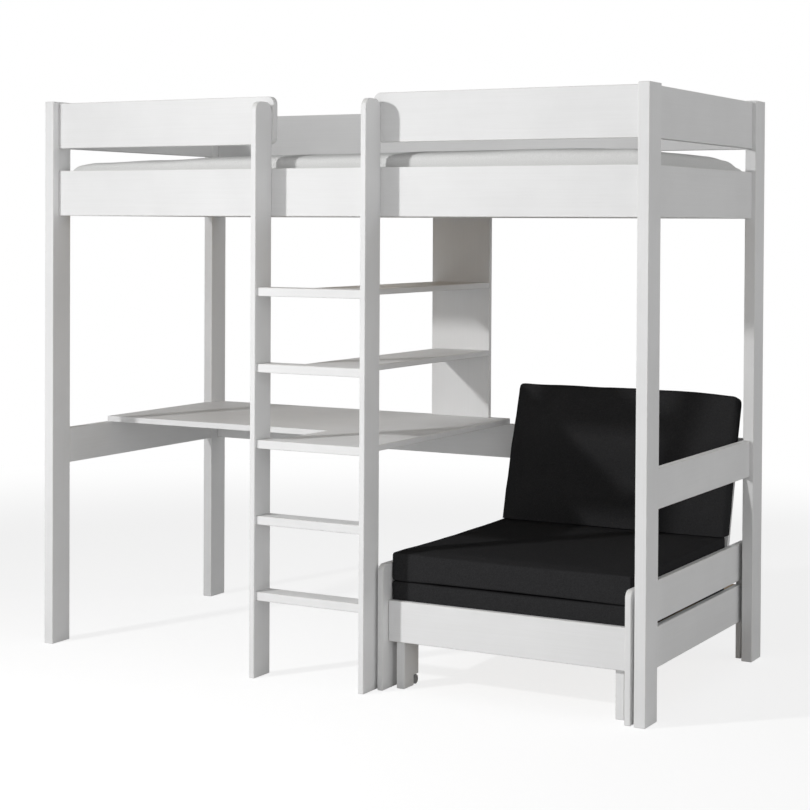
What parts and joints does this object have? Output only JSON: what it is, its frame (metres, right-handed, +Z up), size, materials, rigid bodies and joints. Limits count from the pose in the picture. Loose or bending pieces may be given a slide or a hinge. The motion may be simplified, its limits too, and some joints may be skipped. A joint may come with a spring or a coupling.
{
  "type": "loft bed",
  "caption": "White wooden loft bed with a ladder, an L-shaped desk and shelves below, and a pull-out chair bed with black cushions.",
  "frame": {"origin": "on the floor, under the middle of the whole footprint, the ladder included", "axes": "+X along the bed from the desk end to the chair end, +Y from the ladder side to the wall side, +Z up"},
  "size_m": [2.08, 1.074, 1.766],
  "materials": {
    "white_wood": "satin white lacquer",
    "slat_wood": "plain planed softwood",
    "white_cloth": "woven mattress cover",
    "black_cloth": "matte woven cushion cover",
    "steel": "zinc plated",
    "wheel_plastic": "moulded"
  },
  "bodies": {
    "loft_frame": {"post_front_left": "white_wood", "post_front_right": "white_wood", "post_rear_left": "white_wood", "post_rear_right": "white_wood", "side_rail_front": "white_wood", "side_rail_rear": "white_wood", "guard_front_left": "white_wood", "guard_front_right": "white_wood", "guard_rear": "white_wood", "end_rail_left": "white_wood", "end_rail_right": "white_wood", "end_guard_left": "white_wood", "end_guard_right": "white_wood", "stretcher_left": "white_wood", "stretcher_right": "white_wood", "stretcher_rear": "white_wood", "slat_batten_front": "white_wood", "slat_batten_rear": "white_wood", "ladder_stile_left": "white_wood", "ladder_stile_right": "white_wood", "ladder_rung_1": "white_wood", "ladder_rung_2": "white_wood", "ladder_rung_3": "white_wood", "ladder_rung_4": "white_wood", "ladder_rung_5": "white_wood", "desk_top": "white_wood", "back_board": "white_wood", "shelf_upper": "white_wood", "shelf_lower": "white_wood", "mattress_slats": "slat_wood", "loft_mattress": "white_cloth", "ladder_bolt_left_rail": "steel", "ladder_bolt_left_guard": "steel", "ladder_bolt_right_rail": "steel", "ladder_bolt_right_guard": "steel"},
    "chair_base": {"chair_leg_front_left": "white_wood", "chair_leg_front_right": "white_wood", "chair_leg_rear_left": "white_wood", "chair_leg_rear_right": "white_wood", "chair_rail_lower_left": "white_wood", "chair_rail_lower_right": "white_wood", "chair_rail_upper_left": "white_wood", "chair_rail_upper_right": "white_wood", "chair_beam_front": "white_wood", "backrest_post_left": "white_wood", "backrest_post_right": "white_wood", "backrest_rail_lower": "white_wood", "backrest_rail_upper": "white_wood", "chair_slats": "slat_wood", "seat_cushion_lower": "black_cloth", "back_cushion": "black_cloth"},
    "pull_out": {"pull_panel": "white_wood", "pull_ledger": "white_wood", "pull_leg_left": "white_wood", "pull_leg_right": "white_wood", "pull_slats": "slat_wood"},
    "upper_cushion": {"seat_cushion_upper": "black_cloth"},
    "left_wheel": {"wheel_left": "wheel_plastic"},
    "right_wheel": {"wheel_right": "wheel_plastic"}
  },
  "joints": [
    {"name": "chair_draw_out", "type": "slide", "parent": "loft_frame", "child": "chair_base", "axis": [0, -1, 0], "range_m": [0, 1.2]},
    {"name": "bed_pull_out", "type": "slide", "parent": "chair_base", "child": "pull_out", "axis": [0, -1, 0], "range_m": [0, 0.82]},
    {"name": "cushion_draw_out", "type": "slide", "parent": "chair_base", "child": "upper_cushion", "axis": [0, -1, 0], "range_m": [0, 0.8]},
    {"name": "left_wheel_roll", "type": "hinge", "parent": "pull_out", "child": "left_wheel", "pos_m": [0.2645, -0.3447, 0.0155], "axis": [1, 0, 0], "continuous": true},
    {"name": "right_wheel_roll", "type": "hinge", "parent": "pull_out", "child": "right_wheel", "pos_m": [0.9305, -0.3447, 0.0155], "axis": [1, 0, 0], "continuous": true}
  ]
}
